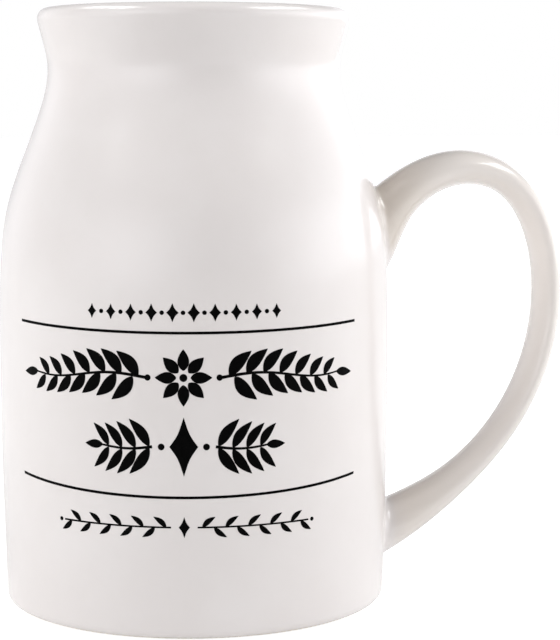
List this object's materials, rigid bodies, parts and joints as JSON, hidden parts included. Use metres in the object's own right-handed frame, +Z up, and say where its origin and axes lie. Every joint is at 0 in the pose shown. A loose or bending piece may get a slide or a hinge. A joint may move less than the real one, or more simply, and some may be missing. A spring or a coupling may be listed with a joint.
{
  "type": "ceramic serving jug",
  "caption": "White glazed ceramic serving jug shaped like a short milk bottle, with a round shoulder, a flared rounded lip and an ear-shaped strap handle.",
  "frame": {"origin": "on the jug's axis, in the plane that the foot ring stands on", "axes": "+Z up along the jug's axis, +X towards the handle, the handle lies in the XZ plane"},
  "size_m": [0.1222, 0.0824, 0.1241],
  "materials": {
    "glaze": "smooth white glaze, soft gloss",
    "print": "fired black decal, satin"
  },
  "bodies": {
    "root": {"jug": "glaze"}
  },
  "joints": []
}
